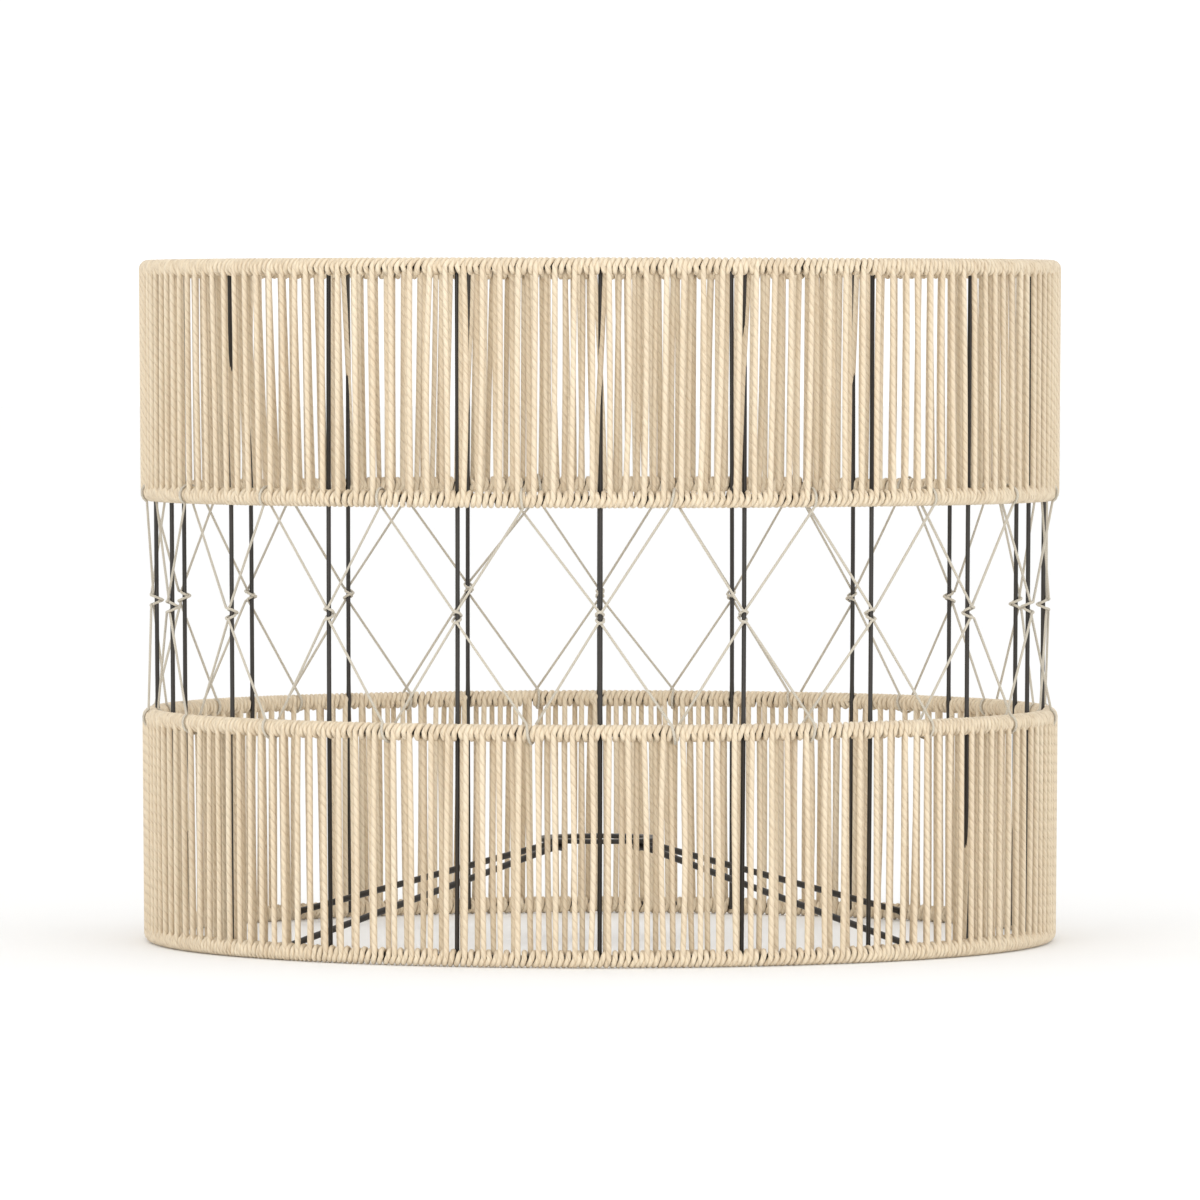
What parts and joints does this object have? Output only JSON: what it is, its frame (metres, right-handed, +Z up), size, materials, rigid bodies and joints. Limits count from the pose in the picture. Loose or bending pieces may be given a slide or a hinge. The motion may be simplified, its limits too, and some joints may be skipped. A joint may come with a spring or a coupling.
{
  "type": "lamp shade",
  "caption": "Round drum lamp shade: a black wire frame wound with two bands of natural paper cord, with an open laced window between them and a spider fitter near the bottom.",
  "frame": {"origin": "centre of the bottom edge, on the surface that the shade stands on", "axes": "+Z up along the axis of the drum; -Y towards the rib that faces the viewer"},
  "size_m": [0.42, 0.42, 0.31],
  "materials": {
    "frame_steel": "satin black powder coat on steel wire",
    "paper_cord": "matt natural twisted paper cord",
    "lacing_cord": "matt pale thin paper cord"
  },
  "bodies": {
    "root": {"top_ring": "frame_steel", "upper_window_ring": "frame_steel", "lower_window_ring": "frame_steel", "bottom_ring": "frame_steel", "rib_01": "frame_steel", "rib_02": "frame_steel", "rib_03": "frame_steel", "rib_04": "frame_steel", "rib_05": "frame_steel", "rib_06": "frame_steel", "rib_07": "frame_steel", "rib_08": "frame_steel", "rib_09": "frame_steel", "rib_10": "frame_steel", "rib_11": "frame_steel", "rib_12": "frame_steel", "rib_13": "frame_steel", "rib_14": "frame_steel", "rib_15": "frame_steel", "rib_16": "frame_steel", "rib_17": "frame_steel", "rib_18": "frame_steel", "rib_19": "frame_steel", "rib_20": "frame_steel", "spider_arm_1": "frame_steel", "spider_arm_2": "frame_steel", "spider_arm_3": "frame_steel", "spider_arm_4": "frame_steel", "spider_hub": "frame_steel", "top_ring_binding": "paper_cord", "upper_window_binding": "paper_cord", "lower_window_binding": "paper_cord", "bottom_ring_binding": "paper_cord", "upper_band_cord": "paper_cord", "lower_band_cord": "paper_cord", "window_lace_outer": "lacing_cord", "window_lace_inner": "lacing_cord"}
  },
  "joints": []
}
